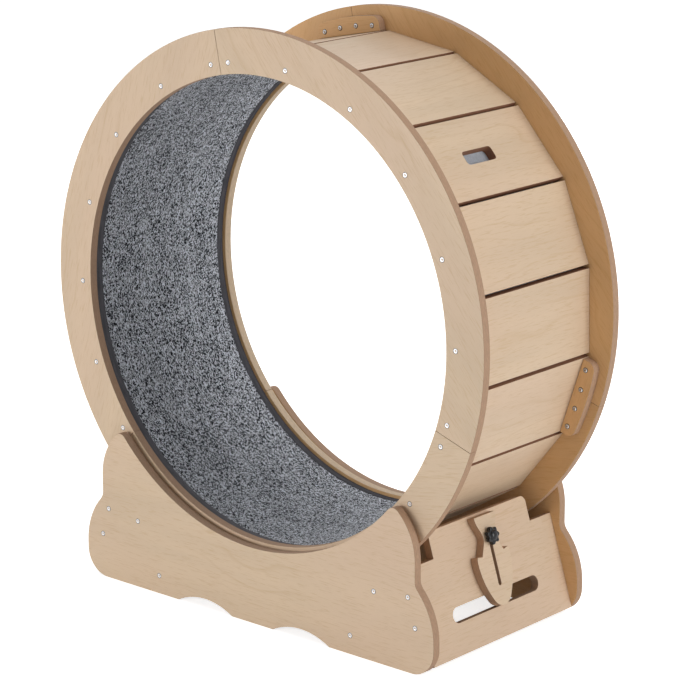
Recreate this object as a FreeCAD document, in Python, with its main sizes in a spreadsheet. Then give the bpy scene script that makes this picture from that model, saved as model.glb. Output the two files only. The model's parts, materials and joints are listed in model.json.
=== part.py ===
import FreeCAD, Part
import math
import os
import re
import Sketcher

# A cat exercise wheel: a drum of flat slats between two board rings, lined with a mat,
# which turns on four grooved rollers in a low board base.
# X runs along the wheel's plane, Y along its axle line, Z up. The origin is on the floor,
# under the middle of the wheel. Lengths are in millimetres, angles in degrees.

SIZES = {
    # wheel
    "wheel_radius": 455.0,
    "ring_width": 72.5,
    "running_width": 314.0,
    "wheel_floor_gap": 62.0,
    "board_thickness": 15.0,
    "segment_count": 3,
    "seam_angle": 101.5,
    "seam_gap": 0.5,
    # slats
    "slat_count": 18,
    "slat_inset": 11.0,
    "slat_thickness": 15.0,
    "slat_joint_gap": 0.8,
    "slat_edge_ease": 0.8,
    "hand_hole_slat": 3,
    "hand_hole_width": 70.0,
    "hand_hole_height": 24.0,
    "hand_hole_corner": 6.0,
    # mat
    "mat_thickness": 5.0,
    "mat_clearance": 0.3,
    # splices behind the ring seams
    "splice_half_length": 68.0,
    "splice_seat_gap": 0.6,
    "splice_inset": 16.5,
    "splice_corner": 14.0,
    "splice_screw_inset": 16.0,
    "splice_screw_pitch": 35.0,
    "splice_screw_length": 26.0,
    # wood screws
    "screw_head_radius": 4.5,
    "screw_head_height": 2.6,
    "screw_shank_radius": 2.0,
    "screw_head_proud": 0.2,
    "ring_screw_length": 45.0,
    "seam_screw_offset": 19.0,
    "panel_screw_length": 45.0,
    # side panels
    "panel_ring_gap": 6.5,
    "cradle_step": 4.5,
    "foot_overhang": 9.5,
    "waist_step": 38.4,
    "foot_corner_radius": 45.0,
    "foot_bulge_radius": 118.0,
    "foot_bulge_height": 57.0,
    "foot_bulge_turn": 42.0,
    "waist_radius": 20.0,
    "horn_start_height": 182.0,
    "horn_radius": 103.0,
    "horn_tip_radius": 14.0,
    "middle_foot_half": 45.0,
    "arch_outer_half": 167.0,
    "arch_rise": 15.7,
    # end boards
    "end_board_tilt": 17.5,
    "tab_lap": 24.34,
    "end_board_foot_height": 14.0,
    "end_board_height": 204.0,
    "end_board_shoulder": 160.5,
    "tab_half_width": 124.0,
    "tab_corner": 12.0,
    "carry_slot_half_length": 109.5,
    "carry_slot_radius": 12.5,
    "carry_slot_height": 62.5,
    "end_screw_low": 68.0,
    "end_screw_high": 118.0,
    # roller boards
    "roller_board_tilt": 29.5,
    "roller_angle": 24.65,
    "roller_seat_height": 54.4,
    "roller_board_height": 129.0,
    "roller_screw_low": 14.5,
    "roller_screw_high": 112.7,
    # rollers and their brackets
    "roller_tread_radius": 20.0,
    "roller_flange_radius": 23.5,
    "roller_width": 22.0,
    "roller_groove_clearance": 0.6,
    "roller_running_gap": 0.3,
    "roller_axle_standoff": 30.0,
    "bearing_outer_radius": 11.0,
    "bearing_bore_radius": 4.0,
    "bearing_width": 14.0,
    "axle_clearance": 0.05,
    "axle_head_radius": 6.5,
    "axle_head_height": 1.3,
    "bracket_metal": 2.0,
    "bracket_side_gap": 0.5,
    "bracket_cheek_width": 26.0,
    "bracket_plate_length": 64.0,
    "bracket_screw_offset": 24.0,
    "bracket_hole_radius": 2.3,
    "bracket_screw_length": 14.0,
    # latch
    "latch_thickness": 15.0,
    "latch_clearance": 0.2,
    "latch_foot_height": 52.0,
    "latch_length": 148.0,
    "latch_top_half": 27.0,
    "latch_flare_radius": 32.0,
    "latch_neck_half": 14.8,
    "latch_neck_height": 112.0,
    "latch_neck_radius": 16.0,
    "latch_neck_lean": 28.0,
    "latch_shoulder_height": 87.0,
    "latch_shoulder_dip": 2.2,
    "latch_shoulder_step": 2.5,
    "latch_shoulder_radius": 14.0,
    "latch_side_radius": 122.0,
    "latch_body_half": 41.0,
    "latch_body_height": 79.0,
    "latch_foot_radius": 24.2,
    "latch_foot_lean": 34.1,
    "latch_slot_half_width": 3.5,
    "latch_slot_bottom": 32.0,
    "latch_slot_top": 116.8,
    # knob
    "stud_radius": 3.0,
    "stud_height": 165.3,
    "stud_end_proud": 3.0,
    "tee_nut_barrel_radius": 4.5,
    "tee_nut_barrel_length": 9.0,
    "tee_nut_flange_radius": 9.5,
    "tee_nut_flange": 1.5,
    "washer_radius": 8.0,
    "washer_thickness": 1.2,
    "knob_core_radius": 11.8,
    "knob_lobe_radius": 3.2,
    "knob_lobe_count": 7,
    "knob_collar_radius": 6.5,
    "knob_collar_height": 1.0,
    "knob_head_height": 8.0,
    "knob_dome_height": 3.5,
}

VECTOR = FreeCAD.Vector
X_AXIS = VECTOR(1, 0, 0)
Y_AXIS = VECTOR(0, 1, 0)
Z_AXIS = VECTOR(0, 0, 1)
LEFT = -1
RIGHT = 1
ROLLER_SIDES = 14
STUD_SIDES = 12
FRONT = -1
REAR = 1

os.makedirs("parts", exist_ok=True)
doc = FreeCAD.newDocument("CatExerciseWheel")
sheet = doc.addObject("Spreadsheet::Sheet", "Sizes")
for row, (alias, number) in enumerate(SIZES.items(), start=1):
    sheet.set(f"A{row}", alias)
    sheet.set(f"B{row}", str(number))
    sheet.setAlias(f"B{row}", alias)
doc.recompute()

nodes = []


# ---------------------------------------------------------------- formulas of the sheet's names
def bound(formula):
    """The formula with each name of the sheet written as a reference to its cell."""
    return re.sub(r"\b([a-z]+_[a-z_]+)\b", r"Sizes.\1", formula)


def value(formula):
    """What a formula of the sheet's names comes to."""
    result = sheet.evalExpression(bound(formula))
    return float(getattr(result, "Value", result))


RING_INNER_FACE = "running_width / 2"
RING_OUTER_FACE = "(running_width / 2 + board_thickness)"
PANEL_INNER_FACE = "(running_width / 2 + board_thickness + panel_ring_gap)"
RING_BORE_RADIUS = "(wheel_radius - ring_width)"
AXLE_HEIGHT = "(wheel_radius + wheel_floor_gap)"
CRADLE_RADIUS = f"({RING_BORE_RADIUS} + cradle_step)"
SLAT_INNER_FLAT = f"({RING_BORE_RADIUS} + slat_inset)"
SLAT_OUTER_FLAT = f"({RING_BORE_RADIUS} + slat_inset + slat_thickness)"
SLAT_HALF_WIDTH = f"({SLAT_INNER_FLAT} * tan(180 / slat_count) - slat_joint_gap / 2)"
SCREW_CIRCLE = f"({RING_BORE_RADIUS} + slat_inset + slat_thickness / 2)"
SPLICE_OUTER_RADIUS = "(wheel_radius - splice_inset)"
# half the turn that a ring segment spans, in degrees, less half of the gap at a seam
HALF_SEGMENT = "(180 / segment_count - seam_gap / wheel_radius * 28.6479)"
# the end boards stand where the inner edge of their tab's top laps the rings, seen along the axle line
TAB_EDGE_HEIGHT = (
    "(end_board_foot_height + end_board_height * cos(end_board_tilt) - board_thickness * sin(end_board_tilt))"
)
TAB_EDGE_HALF = f"sqrt((wheel_radius - tab_lap)^2 - ({AXLE_HEIGHT} - {TAB_EDGE_HEIGHT})^2)"
END_FOOT_HALF = (
    f"({TAB_EDGE_HALF} + board_thickness * cos(end_board_tilt) + end_board_height * sin(end_board_tilt))"
)
PANEL_FOOT_HALF = f"({END_FOOT_HALF} + foot_overhang)"
PANEL_WAIST_HALF = f"({PANEL_FOOT_HALF} - waist_step)"
ARCH_RADIUS = "((arch_outer_half - middle_foot_half)^2 / (8 * arch_rise) + arch_rise / 2)"


# ---------------------------------------------------------------- sketches
def new_body(label):
    body = doc.addObject("PartDesign::Body", label)
    body.Label = label
    nodes.append(body)
    return body


def new_sketch(body, role, name):
    """An empty sketch on one of the body's own origin planes."""
    sketch = body.newObject("Sketcher::SketchObject", f"{body.Label}_{name}")
    plane = next(item for item in body.Origin.OriginFeatures if item.Role == role)
    sketch.AttachmentSupport = (plane, [""])
    sketch.MapMode = "FlatFace"
    return sketch


def hold(sketch, constraint, formula):
    """Add a dimension and tie it to the sheet."""
    index = sketch.addConstraint(constraint)
    sketch.setExpression(f"Constraints[{index}]", bound(formula))


def hold_point(sketch, geometry, position, x, y):
    """Hold a point at (x, y), each a formula; a plain 0 puts it on the axis."""
    if x == "0":
        sketch.addConstraint(Sketcher.Constraint("PointOnObject", geometry, position, -2))
    else:
        hold(sketch, Sketcher.Constraint("DistanceX", -1, 1, geometry, position, value(x)), x)
    if y == "0":
        sketch.addConstraint(Sketcher.Constraint("PointOnObject", geometry, position, -1))
    else:
        hold(sketch, Sketcher.Constraint("DistanceY", -1, 1, geometry, position, value(y)), y)


def arc_from(start, end, radius):
    """The arc of under half a turn from start to end: a positive radius turns left, a negative one right."""
    chord = end - start
    middle = (start + end) * 0.5
    left = VECTOR(-chord.y, chord.x, 0).normalize()
    rise = math.sqrt(max(radius * radius - chord.Length**2 / 4, 0.0))
    centre = middle + left * math.copysign(rise, radius)
    first, last = (start, end) if radius > 0 else (end, start)
    begin = math.atan2(first.y - centre.y, first.x - centre.x)
    finish = math.atan2(last.y - centre.y, last.x - centre.x)
    circle = Part.Circle(centre, Z_AXIS, abs(radius))
    return Part.ArcOfCircle(circle, begin, finish if finish > begin else finish + 2 * math.pi)


def draw_loop(sketch, steps):
    """A closed loop. Each step is the corner that it reaches, x and y, and the radius if it is an arc.

    A radius formula that starts with a minus turns right. The last step's corner is where the loop starts.
    """
    corners = [steps[-1][:2]] + [step[:2] for step in steps]
    points = [VECTOR(value(x), value(y), 0) for x, y in corners]
    ends = []
    for index, step in enumerate(steps):
        start, end = points[index], points[index + 1]
        if len(step) == 2:
            geometry = sketch.addGeometry(Part.LineSegment(start, end))
            ends.append((geometry, 1, 2))
            continue
        radius = value(step[2])
        geometry = sketch.addGeometry(arc_from(start, end, radius))
        ends.append((geometry, 1, 2) if radius > 0 else (geometry, 2, 1))
        size = step[2].lstrip("-")
        hold(sketch, Sketcher.Constraint("Radius", geometry, abs(radius)), size)
    for index, (geometry, first, last) in enumerate(ends):
        following, begin, _ = ends[(index + 1) % len(ends)]
        sketch.addConstraint(Sketcher.Constraint("Coincident", geometry, last, following, begin))
        hold_point(sketch, geometry, first, *corners[index])


def draw_circle(sketch, x, y, radius):
    circle = Part.Circle(VECTOR(value(x), value(y), 0), Z_AXIS, value(radius))
    geometry = sketch.addGeometry(circle)
    hold_point(sketch, geometry, 3, x, y)
    hold(sketch, Sketcher.Constraint("Radius", geometry, value(radius)), radius)


def minus(formula):
    return f"-({formula})"


def draw_polygon(sketch, x, y, radius, sides):
    """A hole of few flat walls, its corners on a circle about (x, y)."""
    steps = []
    for side in range(sides):
        turn = 360.0 * side / sides
        steps.append((f"{x} + {radius} * cos({turn})", f"{y} + {radius} * sin({turn})"))
    draw_loop(sketch, steps)


# ---------------------------------------------------------------- features
def pad(body, sketch, length, name="Pad"):
    feature = body.newObject("PartDesign::Pad", f"{body.Label}_{name}")
    feature.Profile = sketch
    feature.setExpression("Length", bound(length))
    doc.recompute()
    return feature


def pocket_through(body, sketch, name="Pocket"):
    """Cut the sketch through the whole body, and make sure that it took something away."""
    before = body.Shape.Volume
    feature = body.newObject("PartDesign::Pocket", f"{body.Label}_{name}")
    feature.Profile = sketch
    feature.Type = "ThroughAll"
    feature.Midplane = True
    doc.recompute()
    if feature.Shape.Volume > before - 1.0:
        raise RuntimeError(f"{body.Label}: {name} cut nothing")
    return feature


def turned(axis, angle):
    return FreeCAD.Rotation(axis, angle)


def about_axle(rotation, radius, angle, y):
    """A place at a radius from the wheel's axle line, at an angle above +X, for a piece drawn facing outwards.

    The piece's own X runs along the wheel's turn, its Y outwards and its Z along the axle line.
    """
    base = VECTOR(
        radius * math.cos(math.radians(angle)),
        y,
        value(AXLE_HEIGHT) + radius * math.sin(math.radians(angle)),
    )
    return FreeCAD.Placement(base, rotation)


def facing_out(angle):
    """Own Y to the radial direction at this angle, own Z to -Y of the object."""
    return turned(Y_AXIS, 90 - angle) * turned(X_AXIS, 90)


# ---------------------------------------------------------------- wheel
def slat_angle(index):
    """Direction of a slat's middle; slat 0 covers the first seam, and the numbers run clockwise from the front."""
    return value("seam_angle") - index * 360.0 / value("slat_count")


def ring_segment(label, index, side):
    """One third of a ring board, flat, cut from sheet with a small gap left at each seam."""
    body = new_body(label)
    sketch = new_sketch(body, "XY_Plane", "Outline")
    corner = {}
    for name, radius in (("outer", "wheel_radius"), ("inner", RING_BORE_RADIUS)):
        corner[name] = (f"{radius} * sin({HALF_SEGMENT})", f"{radius} * cos({HALF_SEGMENT})")
    draw_loop(
        sketch,
        [
            corner["outer"],
            (minus(corner["outer"][0]), corner["outer"][1], "wheel_radius"),
            (minus(corner["inner"][0]), corner["inner"][1]),
            (*corner["inner"], f"-{RING_BORE_RADIUS}"),
        ],
    )
    pad(body, sketch, "board_thickness")
    sweep = 360.0 / value("segment_count")
    angle = value("seam_angle") - sweep / 2 - index * sweep
    outer_face = value(RING_OUTER_FACE)
    y = -outer_face + value("board_thickness") if side == FRONT else outer_face
    body.Placement = about_axle(facing_out(angle), 0.0, angle, y)


def slat(label, index):
    """A flat board between the rings, with eased long edges; one of them has the hand hole."""
    body = new_body(label)
    sketch = new_sketch(body, "XY_Plane", "Section")
    half, thick, ease = SLAT_HALF_WIDTH, "slat_thickness", "slat_edge_ease"
    draw_loop(
        sketch,
        [
            (f"{half} - {ease}", "0"),
            (half, ease),
            (half, f"{thick} - {ease}"),
            (f"{half} - {ease}", thick),
            (f"{ease} - {half}", thick),
            (minus(half), f"{thick} - {ease}"),
            (minus(half), ease),
            (f"{ease} - {half}", "0"),
        ],
    )
    pad(body, sketch, "running_width")
    if index == round(value("hand_hole_slat")):
        hole = new_sketch(body, "XZ_Plane", "HandHole")
        across, along, corner = "hand_hole_height / 2", "hand_hole_width / 2", "hand_hole_corner"
        middle = "running_width / 2"
        steps = []
        for x_side, z_side in ((1, -1), (1, 1), (-1, 1), (-1, -1)):
            x, inner_x = f"{x_side} * {across}", f"{x_side} * ({across} - {corner})"
            z, inner_z = f"{middle} + {z_side} * {along}", f"{middle} + {z_side} * ({along} - {corner})"
            if x_side == z_side:
                steps += [(x, inner_z), (inner_x, z, corner)]
            else:
                steps += [(inner_x, z), (x, inner_z, corner)]
        draw_loop(hole, steps)
        pocket_through(body, hole)
    angle = slat_angle(index)
    body.Placement = about_axle(facing_out(angle), value(SLAT_INNER_FLAT), angle, value(RING_INNER_FACE))


def running_mat():
    """The carpet lining, one closed band just inside the slats."""
    body = new_body("running_mat")
    sketch = new_sketch(body, "XY_Plane", "Outline")
    outer = f"{SLAT_INNER_FLAT} - mat_clearance"
    draw_circle(sketch, "0", "0", outer)
    draw_circle(sketch, "0", "0", f"{outer} - mat_thickness")
    pad(body, sketch, "running_width - 2 * mat_clearance")
    y = value(RING_INNER_FACE) - value("mat_clearance")
    body.Placement = about_axle(facing_out(90.0), 0.0, 90.0, y)


def splice(label, index, side):
    """A block screwed to a ring's inner face across a seam: straight on the slat, round outside."""
    body = new_body(label)
    sketch = new_sketch(body, "XY_Plane", "Outline")
    half, outer, corner = "splice_half_length", SPLICE_OUTER_RADIUS, "splice_corner"
    seat = f"{SLAT_OUTER_FLAT} + splice_seat_gap"
    corner_y = f"sqrt(({outer} - {corner})^2 - ({half} - {corner})^2)"
    stretch = f"{outer} / ({outer} - {corner})"
    round_x, round_y = f"({half} - {corner}) * {stretch}", f"{corner_y} * {stretch}"
    draw_loop(
        sketch,
        [
            (half, seat),
            (half, corner_y),
            (round_x, round_y, corner),
            (minus(round_x), round_y, outer),
            (minus(half), corner_y, corner),
            (minus(half), seat),
        ],
    )
    pad(body, sketch, "board_thickness")
    inner_face = value(RING_INNER_FACE)
    y = -inner_face + value("board_thickness") if side == FRONT else inner_face
    angle = value("seam_angle") - index * 360.0 / value("segment_count")
    body.Placement = about_axle(facing_out(angle), 0.0, angle, y)


# ---------------------------------------------------------------- screws
def faceted(profile, sides, radius_at=None):
    """A solid of revolution about Z in few flat faces, from a closed profile of radii and heights.

    radius_at can change a radius with the turn, for a lobed outline.
    """
    rings = []
    for radius, height in profile:
        ring = []
        for side in range(sides):
            turn = 2 * math.pi * side / sides
            reach = radius_at(radius, turn) if radius_at else radius
            ring.append(VECTOR(reach * math.cos(turn), reach * math.sin(turn), height))
        rings.append(ring)
    faces = []
    for index, ring in enumerate(rings):
        following = rings[(index + 1) % len(rings)]
        radius, next_radius = profile[index][0], profile[(index + 1) % len(rings)][0]
        if radius == 0 and next_radius == 0:
            continue
        if (radius == 0 or next_radius == 0) and ring[0].z == following[0].z:
            rim = following if radius == 0 else ring
            faces.append(Part.Face(Part.makePolygon(rim + rim[:1])))
            continue
        for side in range(sides):
            after = (side + 1) % sides
            corners = [ring[side], ring[after], following[after], following[side]]
            if radius == 0:
                corners.pop(0)
            elif next_radius == 0:
                corners.pop()
            faces.append(Part.Face(Part.makePolygon(corners + corners[:1])))
    solid = Part.Solid(Part.Shell(faces))
    if solid.Volume < 0:
        solid.reverse()
    return solid


def add_solid(label, shape, placement=None):
    """A node whose few flat faces are made directly."""
    node = doc.addObject("Part::Feature", label)
    node.Label = label
    node.Shape = shape
    if placement:
        node.Placement = placement
    nodes.append(node)


def screw_solid(length):
    """A countersunk wood screw along +Z, its head's flat top at the origin, with no thread."""
    head, shank = value("screw_head_radius"), value("screw_shank_radius")
    point = min(3 * shank, length / 3)
    profile = [
        (0, 0),
        (head, 0),
        (shank, -value("screw_head_height")),
        (shank, point - length),
        (0, -length),
    ]
    return faceted(profile, 6)


def screw_group(label, length, places):
    """All screws of one kind as one node of separate solids."""
    shape = screw_solid(value(length))
    copies = []
    for base, rotation in places:
        copy = shape.copy()
        copy.Placement = FreeCAD.Placement(base, rotation)
        copies.append(copy)
    add_solid(label, Part.makeCompound(copies))


def on_wheel(radius, angle, y):
    turn = math.radians(angle)
    return VECTOR(radius * math.cos(turn), y, value(AXLE_HEIGHT) + radius * math.sin(turn))


def heads_to(side):
    """A screw whose head faces the front (-Y) or the rear (+Y)."""
    return turned(X_AXIS, 90 if side == FRONT else -90)


def ring_screws():
    """One screw into each slat's end, and two where a seam runs over the slat."""
    circle = value(SCREW_CIRCLE)
    offset = math.degrees(value("seam_screw_offset") / circle)
    per_segment = round(value("slat_count") / value("segment_count"))
    face = value(RING_OUTER_FACE) + value("screw_head_proud")
    places = []
    for side in (FRONT, REAR):
        for index in range(round(value("slat_count"))):
            turns = (-offset, offset) if index % per_segment == 0 else (0.0,)
            for turn in turns:
                places.append((on_wheel(circle, slat_angle(index) + turn, side * face), heads_to(side)))
    screw_group("ring_screws", "ring_screw_length", places)


def splice_screws():
    """Four screws through each splice into the ring behind it, two each side of the seam."""
    radius = value(f"{SPLICE_OUTER_RADIUS} - splice_screw_inset")
    pitch = math.degrees(value("splice_screw_pitch") / radius)
    face = value(RING_INNER_FACE) - value("board_thickness") - value("screw_head_proud")
    places = []
    for side in (FRONT, REAR):
        for index in range(round(value("segment_count"))):
            seam = value("seam_angle") - index * 360.0 / value("segment_count")
            for step in (-1.5, -0.5, 0.5, 1.5):
                place = on_wheel(radius, seam + step * pitch, side * face)
                places.append((place, heads_to(-side)))
    screw_group("splice_screws", "splice_screw_length", places)


# ---------------------------------------------------------------- base
def circle_meeting(centre_a, radius_a, centre_b, radius_b):
    """The meeting point, on the left of the way from a to b, of two circles."""
    way = centre_b - centre_a
    along = (radius_a**2 - radius_b**2 + way.Length**2) / (2 * way.Length)
    across = math.sqrt(radius_a**2 - along**2)
    way.normalize()
    return centre_a + way * along + VECTOR(-way.y, way.x, 0) * across


def side_panel(label, side):
    """A side of the base: three feet, a waist, two horns and the cradle arc that follows the ring.

    The sketch is the right half; the mirror makes the left. Its arcs are tangent to what they meet.
    """
    body = new_body(label)
    sketch = new_sketch(body, "XY_Plane", "HalfOutline")
    foot, waist = value(PANEL_FOOT_HALF), value(PANEL_WAIST_HALF)
    corner, bulge = value("foot_corner_radius"), value("foot_bulge_radius")
    bulge_z, turn = value("foot_bulge_height"), math.radians(value("foot_bulge_turn"))
    bulge_centre = VECTOR(foot - bulge, bulge_z, 0)
    bulge_end = bulge_centre + VECTOR(math.cos(turn), math.sin(turn), 0) * bulge
    waist_r = value("waist_radius")
    waist_x = waist + waist_r * (1 - math.cos(turn))
    waist_low = bulge_end + VECTOR(-math.sin(turn), math.cos(turn), 0) * (
        (bulge_end.x - waist_x) / math.sin(turn)
    )
    waist_centre = waist_low + VECTOR(math.cos(turn), math.sin(turn), 0) * waist_r
    horn_z, horn, tip = value("horn_start_height"), value("horn_radius"), value("horn_tip_radius")
    cradle, axle = value(CRADLE_RADIUS), VECTOR(0, value(AXLE_HEIGHT), 0)
    horn_centre = VECTOR(waist - horn, horn_z, 0)
    tip_centre = circle_meeting(axle, cradle + tip, horn_centre, horn - tip)
    horn_end = horn_centre + (tip_centre - horn_centre).normalize() * horn
    cradle_end = axle + (tip_centre - axle).normalize() * cradle
    near, far = value("middle_foot_half"), value("arch_outer_half")

    points = [
        VECTOR(0, 0, 0),
        VECTOR(near, 0, 0),
        VECTOR(far, 0, 0),
        VECTOR(foot - corner, 0, 0),
        VECTOR(foot, corner, 0),
        VECTOR(foot, bulge_z, 0),
        bulge_end,
        waist_low,
        VECTOR(waist, waist_centre.y, 0),
        VECTOR(waist, horn_z, 0),
        horn_end,
        cradle_end,
        axle - VECTOR(0, cradle, 0),
    ]
    radii = [0, -value(ARCH_RADIUS), 0, corner, 0, bulge, 0, -waist_r, 0, horn, tip, -cradle, 0]
    ends = []
    for index, radius in enumerate(radii):
        start, end = points[index], points[(index + 1) % len(points)]
        edge = arc_from(start, end, radius) if radius else Part.LineSegment(start, end)
        geometry = sketch.addGeometry(edge)
        ends.append((geometry, 2, 1) if radius < 0 else (geometry, 1, 2))
    tangent_from = {3, 4, 5, 6, 7, 8, 9, 10, 11}
    for index, (geometry, _, last) in enumerate(ends):
        following, begin, _ = ends[(index + 1) % len(ends)]
        kind = "Tangent" if (index + 1) in tangent_from else "Coincident"
        sketch.addConstraint(Sketcher.Constraint(kind, geometry, last, following, begin))

    def start_of(index):
        return ends[index][0], ends[index][1]

    sketch.addConstraint(Sketcher.Constraint("Coincident", *start_of(0), -1, 1))
    for index in (4, 8, 12):
        sketch.addConstraint(Sketcher.Constraint("Vertical", ends[index][0]))
    hold_point(sketch, *start_of(1), "middle_foot_half", "0")
    hold_point(sketch, *start_of(2), "arch_outer_half", "0")
    for index, name in (
        (1, ARCH_RADIUS),
        (3, "foot_corner_radius"),
        (5, "foot_bulge_radius"),
        (7, "waist_radius"),
        (9, "horn_radius"),
        (10, "horn_tip_radius"),
        (11, CRADLE_RADIUS),
    ):
        hold(sketch, Sketcher.Constraint("Radius", ends[index][0], value(name)), name)
    hold_point(sketch, *start_of(5), PANEL_FOOT_HALF, "foot_bulge_height")
    hold(sketch, Sketcher.Constraint("Angle", ends[6][0], math.pi / 2 + turn), "90 + foot_bulge_turn")
    hold_point(sketch, *start_of(9), PANEL_WAIST_HALF, "horn_start_height")
    hold_point(sketch, ends[11][0], 3, "0", AXLE_HEIGHT)
    half = pad(body, sketch, "board_thickness")
    whole = body.newObject("PartDesign::Mirrored", f"{label}_Mirrored")
    whole.Originals = [half]
    plane = next(item for item in body.Origin.OriginFeatures if item.Role == "YZ_Plane")
    whole.MirrorPlane = (plane, [""])
    body.Tip = whole
    doc.recompute()
    inner_face = value(PANEL_INNER_FACE)
    y = -inner_face if side == FRONT else inner_face + value("board_thickness")
    body.Placement = FreeCAD.Placement(VECTOR(0, y, 0), turned(X_AXIS, 90))


def end_rotation(side):
    """Own X along Y, own Y up the board's slope and own Z out of its outer face."""
    upright = turned(Z_AXIS, 90) * turned(X_AXIS, 90)
    tilted = turned(Y_AXIS, -value("end_board_tilt")) * upright
    return tilted if side == RIGHT else turned(Z_AXIS, 180) * tilted


def end_point(side, up, out=0.0, across=0.0):
    """A point on an end board: this far up its slope and out of its outer face."""
    foot = VECTOR(side * value(END_FOOT_HALF), 0, value("end_board_foot_height"))
    rotation = end_rotation(side)
    return foot + rotation.multVec(VECTOR(across, up, out))


def end_board(label, side):
    """An end of the base, leaning inwards, with a tab between the rings and a carry slot."""
    body = new_body(label)
    sketch = new_sketch(body, "XY_Plane", "Outline")
    half, tab = PANEL_INNER_FACE, "tab_half_width"
    shoulder, top, corner = "end_board_shoulder", "end_board_height", "tab_corner"
    draw_loop(
        sketch,
        [
            (half, "0"),
            (half, shoulder),
            (tab, shoulder),
            (tab, f"{top} - {corner}"),
            (f"{tab} - {corner}", top, corner),
            (f"{corner} - {tab}", top),
            (minus(tab), f"{top} - {corner}", corner),
            (minus(tab), shoulder),
            (minus(half), shoulder),
            (minus(half), "0"),
        ],
    )
    pad(body, sketch, "board_thickness")
    slot = new_sketch(body, "XY_Plane", "CarrySlot")
    radius = "carry_slot_radius"
    end = f"carry_slot_half_length - {radius}"
    low, high = f"carry_slot_height - {radius}", f"carry_slot_height + {radius}"
    draw_loop(
        slot,
        [
            (end, low),
            ("carry_slot_half_length", "carry_slot_height", radius),
            (end, high, radius),
            (minus(end), high),
            (minus("carry_slot_half_length"), "carry_slot_height", radius),
            (minus(end), low, radius),
        ],
    )
    pocket_through(body, slot, "CarryPocket")
    if side == RIGHT:
        hole = new_sketch(body, "XY_Plane", "StudHole")
        draw_polygon(hole, "0", "stud_height", "tee_nut_barrel_radius", STUD_SIDES)
        pocket_through(body, hole, "StudPocket")
    body.Placement = FreeCAD.Placement(end_point(side, 0.0, -value("board_thickness")), end_rotation(side))


ROLLER_STANDOFF = "(board_thickness / 2 + roller_axle_standoff)"


def roller_rotation(side):
    """Own X along Y, own Y up the board's slope, which leans outwards, and own Z away from the wheel."""
    upright = turned(Z_AXIS, 90) * turned(X_AXIS, 90)
    tilted = turned(Y_AXIS, value("roller_board_tilt")) * upright
    return tilted if side == RIGHT else turned(Z_AXIS, 180) * tilted


def roller_point(side, up, out=0.0, across=0.0):
    """A point on a roller board's middle plane: this far up its slope and out, away from the wheel."""
    reach = value("wheel_radius + roller_running_gap + roller_tread_radius")
    turn = math.radians(value("roller_angle"))
    axle = VECTOR(side * reach * math.sin(turn), 0, value(AXLE_HEIGHT) - reach * math.cos(turn))
    from_axle = VECTOR(across, up - value("roller_seat_height"), out + value(ROLLER_STANDOFF))
    return axle + roller_rotation(side).multVec(from_axle)


def roller_board(label, side):
    """An inner board across the base that carries two rollers on the face towards the wheel."""
    body = new_body(label)
    sketch = new_sketch(body, "XY_Plane", "Outline")
    half, height = PANEL_INNER_FACE, "roller_board_height"
    draw_loop(sketch, [(half, "0"), (half, height), (minus(half), height), (minus(half), "0")])
    pad(body, sketch, "board_thickness")
    body.Placement = FreeCAD.Placement(
        roller_point(side, 0.0, -value("board_thickness") / 2), roller_rotation(side)
    )


def panel_screws():
    """Two screws from each side panel into each end board and each roller board."""
    face = value(PANEL_INNER_FACE) + value("board_thickness") + value("screw_head_proud")
    places = []
    for panel in (FRONT, REAR):
        for side in (LEFT, RIGHT):
            middle = -value("board_thickness") / 2
            points = [end_point(side, value(name), middle) for name in ("end_screw_low", "end_screw_high")]
            points += [roller_point(side, value(name)) for name in ("roller_screw_low", "roller_screw_high")]
            for point in points:
                places.append((VECTOR(point.x, panel * face, point.z), heads_to(panel)))
    screw_group("panel_screws", "panel_screw_length", places)


# ---------------------------------------------------------------- rollers
def roller_centre(side, face):
    centre = roller_point(side, value("roller_seat_height"), -value(ROLLER_STANDOFF))
    centre.y = face * (value(RING_INNER_FACE) + value("board_thickness") / 2)
    return centre


def on_roller_axis(side, face):
    return FreeCAD.Placement(roller_centre(side, face), turned(X_AXIS, 90))


def roller(label, side, face):
    """A grooved roller: the ring's rim runs between its flanges."""
    half, flange, tread = value("roller_width / 2"), value("roller_flange_radius"), value("roller_tread_radius")
    groove = value("board_thickness / 2 + roller_groove_clearance")
    bore = value("bearing_outer_radius")
    profile = [
        (bore, -half),
        (flange, -half),
        (flange, -(half + groove) / 2),
        (tread, -groove),
        (tread, groove),
        (flange, (half + groove) / 2),
        (flange, half),
        (bore, half),
    ]
    add_solid(label, faceted(profile, ROLLER_SIDES), on_roller_axis(side, face))


def roller_bearing(label, side, face):
    """A sealed ball bearing pressed into the roller; its corners clear the pin however it turns."""
    half, outer = value("bearing_width / 2"), value("bearing_outer_radius")
    inner = value("bearing_bore_radius + axle_clearance") / math.cos(math.pi / ROLLER_SIDES)
    profile = [(inner, -half), (outer, -half), (outer, half), (inner, half)]
    add_solid(label, faceted(profile, ROLLER_SIDES), on_roller_axis(side, face))


BRACKET_INSIDE = "(roller_width / 2 + bracket_side_gap)"
BRACKET_OUTSIDE = "(roller_width / 2 + bracket_side_gap + bracket_metal)"


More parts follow.
